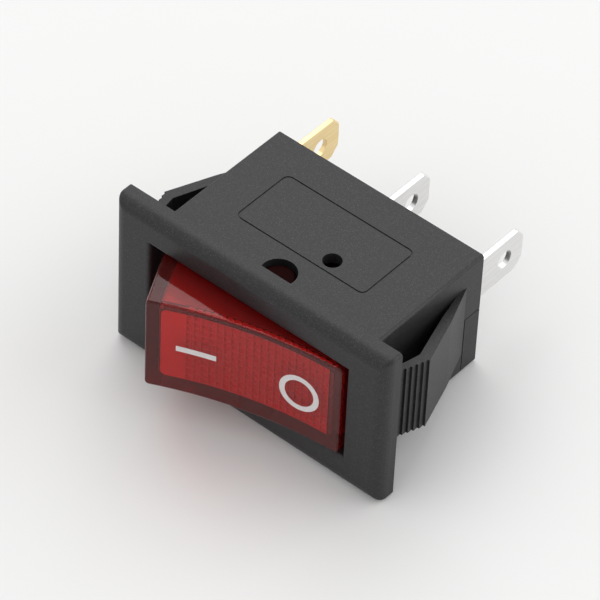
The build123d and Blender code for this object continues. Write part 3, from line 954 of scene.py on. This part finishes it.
@dataclass(frozen=True)
class PrintedMarks:
    """Line and ring printed on the concave front.

    Attributes:
        front: Outer face of the front wall.
        ink: Thickness of the ink.
        bar_x: Ends of the line.
        bar_z: Middle of the line's width.
        bar_width: Width of the line.
        bar_steps: Faces along the line.
        ring_x: X of the ring's centre.
        ring_z: Z of the ring's centre.
        ring_radius: Outer radius of the ring.
        ring_width: Width of the ring's stroke.
        ring_steps: Faces round the ring.
    """

    front: HollowFace
    ink: float = 0.015
    bar_x: tuple[float, float] = (-6.55, -2.85)
    bar_z: float = 0.15
    bar_width: float = 0.6
    bar_steps: int = 16
    ring_x: float = 5.2
    ring_z: float = -0.12
    ring_radius: float = 2.0
    ring_width: float = 0.55
    ring_steps: int = 72

    def build(self, space: RockerSpace, finishes: Finishes) -> None:
        """Make both marks.

        Args:
            space: The rocker's frame.
            finishes: The finishes of the switch.
        """
        bar = self.mark("mark_on_bar", self.bar_edges(), space, closed=False)
        ring = self.mark("mark_off_ring", self.ring_edges(), space, closed=True)
        for piece in (bar, ring):
            finishes.dress(piece, "white_ink")

    def bar_edges(self) -> list[Outline]:
        """Long edges of the line that marks the on end.

        Returns:
            Two runs of points (x, z).
        """
        start, end = self.bar_x
        run = [start + i * (end - start) / self.bar_steps for i in range(self.bar_steps + 1)]
        return [[(x, self.bar_z + side * self.bar_width / 2) for x in run] for side in (-1, 1)]

    def ring_edges(self) -> list[Outline]:
        """Inner and outer edge of the ring that marks the off end.

        Returns:
            Two closed runs of points (x, z).
        """
        x, z = self.ring_x, self.ring_z
        turns = [2 * math.pi * i / self.ring_steps for i in range(self.ring_steps)]
        return [
            [(x + radius * math.cos(t), z + radius * math.sin(t)) for t in turns]
            for radius in (self.ring_radius - self.ring_width, self.ring_radius)
        ]

    def mark(
        self,
        name: str,
        edges: list[Outline],
        space: RockerSpace,
        closed: bool,
    ) -> bpy.types.Object:
        """A printed mark that follows the concave front.

        Args:
            name: Name of the piece.
            edges: Two runs of points (x, z) along the mark's two long edges.
            space: The rocker's frame.
            closed: True if the runs are closed rings.

        Returns:
            The new object.
        """
        mesh = bmesh.new()
        low_a, low_b, high_a, high_b = [
            [mesh.verts.new(space.place(x, self.front.depth(x) - lift, z)) for x, z in run]
            for lift in (0, self.ink)
            for run in edges
        ]
        count = len(low_a)
        for i in range(count if closed else count - 1):
            j = (i + 1) % count
            for a, b in ((high_a, high_b), (low_b, low_a), (low_a, high_a), (high_b, low_b)):
                mesh.faces.new((a[i], a[j], b[j], b[i]))
        if not closed:
            for i in (0, count - 1):
                mesh.faces.new((low_a[i], low_b[i], high_b[i], high_a[i]))
        return mesh_piece(name, mesh, Body.ROCKER)


@dataclass(frozen=True)
class Rocker:
    """Clear red rocker: its cap, prism face, inner faces and printed marks.

    Attributes:
        space: The rocker's frame.
        front: Outer face of the front wall.
        inner: Inner face of the front wall.
        pin_start: Distance from the middle at which the pins' ends, painted near-black as shade,
            begin.
        foot_start: Y at which the foot, painted near-black as shade, begins.
        foot_facing: Least cosine between inwards and the normal of a face painted as shade.
    """

    space: RockerSpace
    front: HollowFace = HollowFace(9.33, 7.08, 0.98)
    inner: HollowFace = HollowFace(8.41, 5.78, 0.98)
    pin_start: float = 5.2
    foot_start: float = -1.9
    foot_facing: float = 0.7

    def build(self, cap: bpy.types.Object, finishes: Finishes) -> None:
        """Dress the cap and make every added piece of the rocker.

        Args:
            cap: The rocker's own object.
            finishes: The finishes of the switch.
        """
        self.dress_cap(cap, finishes)
        PrismFace(self.inner).build(self.space, finishes)
        InnerFaces(self.inner).build(self.space, finishes)
        PrintedMarks(self.front).build(self.space, finishes)

    def dress_cap(self, cap: bpy.types.Object, finishes: Finishes) -> None:
        """Give the cap its clear plastic, and paint its pin ends and its foot near-black red as
        shade.

        Args:
            cap: The rocker's own object.
            finishes: The finishes of the switch.
        """
        finishes.dress(cap, "clear_red", "pivot_shade_red")
        origin = self.space.place(0, 0, 0)
        inward = self.space.inward()
        for face in cap.data.polygons:
            pin = abs(face.center.z) > self.pin_start * MM
            deep = (face.center - origin).dot(inward) > self.foot_start * MM
            foot = deep and face.normal.dot(inward) > self.foot_facing
            # Pin ends and foot take the near-black red: painted shade.
            face.material_index = CapSlot.SHADED if pin or foot else CapSlot.CLEAR


@dataclass(frozen=True)
class CoilSpring:
    """Coil spring between two bodies, copied from its node.

    Attributes:
        node: Name of the spring's node in the frame.
        held: Body at its start, named in the log.
        driven: Body at its end, named in the log.
        axis: Direction from its start to its end. Not used.
        end_share: Share of its length, at each end, that keeps to its own body. Not used.
    """

    node: str
    held: Body
    driven: Body
    axis: Vector
    end_share: float = 0.08

    def build(self, finishes: Finishes, nodes: dict[str, bpy.types.Object]) -> bpy.types.Object:
        """Copy the coil of its node in its place, hide the node and dress the copy.

        Args:
            finishes: The finishes of the switch.
            nodes: The frame's nodes by name.

        Returns:
            The new object.
        """
        piece = bpy.data.objects.new(f"{self.node}_coil", nodes[self.node].data.copy())
        bpy.context.scene.collection.objects.link(piece)
        low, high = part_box(self.node)
        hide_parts(self.node)
        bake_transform(piece)
        finishes.dress(piece, "spring_wire")
        LOG.info("%s stretches between %s and %s", piece.name, self.held.value, self.driven.value)
        return piece


# Surroundings

@dataclass(frozen=True)
class PhotoCamera:
    """Camera at the photograph's viewing angle.

    Attributes:
        azimuth: Angle round the switch in degrees, from straight in front.
        elevation: Angle above the row frame's XY plane, in degrees.
        roll: Turn about the line of sight, in degrees.
        distance: Distance from the origin along the line of sight, in metres.
        lens: Focal length in millimetres.
        sensor: Width of the sensor in millimetres.
        aim_right: How far the picture's middle lies right of the origin, in metres.
        aim_up: How far it lies above the origin, in metres.
        near: Start of the camera's range, in metres.
        far: End of the camera's range, in metres.
    """

    azimuth: float = 38.52
    elevation: float = 44.88
    roll: float = 2.81
    distance: float = 380.33 * MM
    lens: float = 261.8
    sensor: float = 36.0
    aim_right: float = 3.24 * MM
    aim_up: float = 3.49 * MM
    near: float = 10 * MM
    far: float = 10.0

    def axes(self) -> tuple[Vector, Vector, Vector]:
        """Right, up and back directions before the roll.

        Returns:
            The three directions.
        """
        a = math.radians(self.azimuth)
        e = math.radians(self.elevation)
        back = Vector((math.sin(a) * math.cos(e), -math.cos(a) * math.cos(e), math.sin(e)))
        right = Vector((math.cos(a), math.sin(a), 0))
        return right, back.cross(right), back

    def build(self) -> bpy.types.Object:
        """Make the camera and use it.

        Returns:
            The camera object.
        """
        right, up, back = self.axes()
        r = math.radians(self.roll)
        across = right * math.cos(r) + up * math.sin(r)
        above = up * math.cos(r) - right * math.sin(r)
        data = bpy.data.cameras.new("photo_camera")
        data.sensor_width = self.sensor
        data.lens = self.lens
        data.clip_start = self.near
        data.clip_end = self.far
        camera = bpy.data.objects.new("photo_camera", data)
        bpy.context.scene.collection.objects.link(camera)
        eye = right * self.aim_right + up * self.aim_up + back * self.distance
        turn = Matrix((across, above, back)).transposed()
        camera.matrix_world = Matrix.Translation(eye) @ turn.to_4x4()
        bpy.context.scene.camera = camera
        return camera


@dataclass(frozen=True)
class SoftLamp:
    """Square area light that faces the switch.

    Attributes:
        name: Name of the light.
        size: Side of the light, in metres.
        power: Power in watts.
        right: Share of the camera's right in the direction of the light.
        up: Share of the camera's up in it.
        back: Share of the way back to the camera in it.
        above: Share of the way off the floor in it.
        distance: Distance from the origin, in metres.
    """

    name: str
    size: float
    power: float
    right: float = 0.0
    up: float = 0.0
    back: float = 0.0
    above: float = 0.0
    distance: float = 1.5

    def build(self, camera: PhotoCamera, off_floor: Vector) -> bpy.types.Object:
        """Make the light.

        Args:
            camera: The camera, whose directions place the light.
            off_floor: Direction away from the floor.

        Returns:
            The light object.
        """
        right, up, back = camera.axes()
        sight = right * self.right + up * self.up + back * self.back
        direction = sight + off_floor * self.above
        data = bpy.data.lights.new(self.name, "AREA")
        data.size = self.size
        data.energy = self.power
        lamp = bpy.data.objects.new(self.name, data)
        bpy.context.scene.collection.objects.link(lamp)
        lamp.location = direction.normalized() * self.distance
        lamp.rotation_euler = direction.to_track_quat("Z", "Y").to_euler()
        return lamp


@dataclass(frozen=True)
class Studio:
    """Pale floor under the switch as it lies, and soft light.

    Attributes:
        floor_size: Side of the floor, in metres.
        floor_colour: Colour of the floor.
        sky: Strength of the even light from all round.
        lamps: The area lights.
    """

    floor_size: float = 3.0
    floor_colour: Colour = (0.81, 0.81, 0.805)
    sky: float = 0.68
    lamps: tuple[SoftLamp, ...] = (
        SoftLamp("key_above", 1.3, 9.3, right=-0.1, up=1.0, above=0.2),
        SoftLamp("fill_right", 1.6, 12.5, right=1.0, back=-0.15, above=0.6),
        SoftLamp("fill_left", 1.5, 3.0, right=-1.0, back=0.3, above=0.6),
    )

    def build(self, camera: PhotoCamera) -> None:
        """Make the floor, the lights and the world.

        Args:
            camera: The camera, whose directions place the lights.
        """
        bezel_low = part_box("housing")[0].z
        case_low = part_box("rear_base")[0].z
        case_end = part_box("housing")[1].y
        tilt = math.atan((case_low - bezel_low) / case_end)
        self.lay_floor(tilt, bezel_low)
        off_floor = Vector((0, -math.sin(tilt), math.cos(tilt)))
        for lamp in self.lamps:
            lamp.build(camera, off_floor)
        self.light_sky()

    def lay_floor(self, tilt: float, height: float) -> bpy.types.Object:
        """Make the surface that the switch lies on, by its bezel and the end of its case.

        Args:
            tilt: Angle of the surface about X, in radians.
            height: Height of the surface at the origin, in metres.

        Returns:
            The floor object.
        """
        half = self.floor_size / 2
        turn = Matrix.Rotation(tilt, 3, "X")
        lift = Vector((0, 0, height))
        square = ((-half, -half), (half, -half), (half, half), (-half, half))
        points = [turn @ Vector((x, y, 0)) + lift for x, y in square]
        mesh = bpy.data.meshes.new("floor")
        mesh.from_pydata(points, [], [(0, 1, 2, 3)])
        piece = bpy.data.objects.new("floor", mesh)
        bpy.context.scene.collection.objects.link(piece)
        sheet = ShaderSheet("pale_floor")
        sheet.set(Base_Color=(*self.floor_colour, 1), Roughness=0.6, Specular_IOR_Level=0.2)
        mesh.materials.append(sheet.material)
        return piece

    def light_sky(self) -> None:
        """Let even white light come from all round."""
        world = bpy.data.worlds.new("soft_room")
        bpy.context.scene.world = world
        world.use_nodes = True
        background = world.node_tree.nodes["Background"]
        background.inputs["Color"].default_value = (1, 1, 1, 1)
        background.inputs["Strength"].default_value = self.sky


def main() -> None:
    """Dress the switch, add what the frame lacks and set up the scene."""
    logging.basicConfig(level=logging.INFO)
    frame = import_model()
    finishes = Finishes()
    finishes.build()
    for name, finish in NODE_FINISH.items():
        finishes.dress(frame["nodes"][name], finish)
        LOG.info("%s dressed in %s", name, finish)
    space = RockerSpace.from_frame(frame)
    Rocker(space).build(frame["nodes"]["rocker"], finishes)
    outward = Vector((0, -1, 0))
    springs = [
        CoilSpring("plunger_spring", Body.ROCKER, Body.PLUNGER, space.inward()),
        CoilSpring("lamp_spring_feed", Body.CASE, Body.ROCKER, outward),
        CoilSpring("lamp_spring_return", Body.CASE, Body.ROCKER, outward),
    ]
    for spring in springs:
        spring.build(finishes, frame["nodes"])
    camera = PhotoCamera()
    camera.build()
    Studio().build(camera)
    bpy.context.scene.view_settings.view_transform = "Standard"


if __name__ == "__main__":
    main()
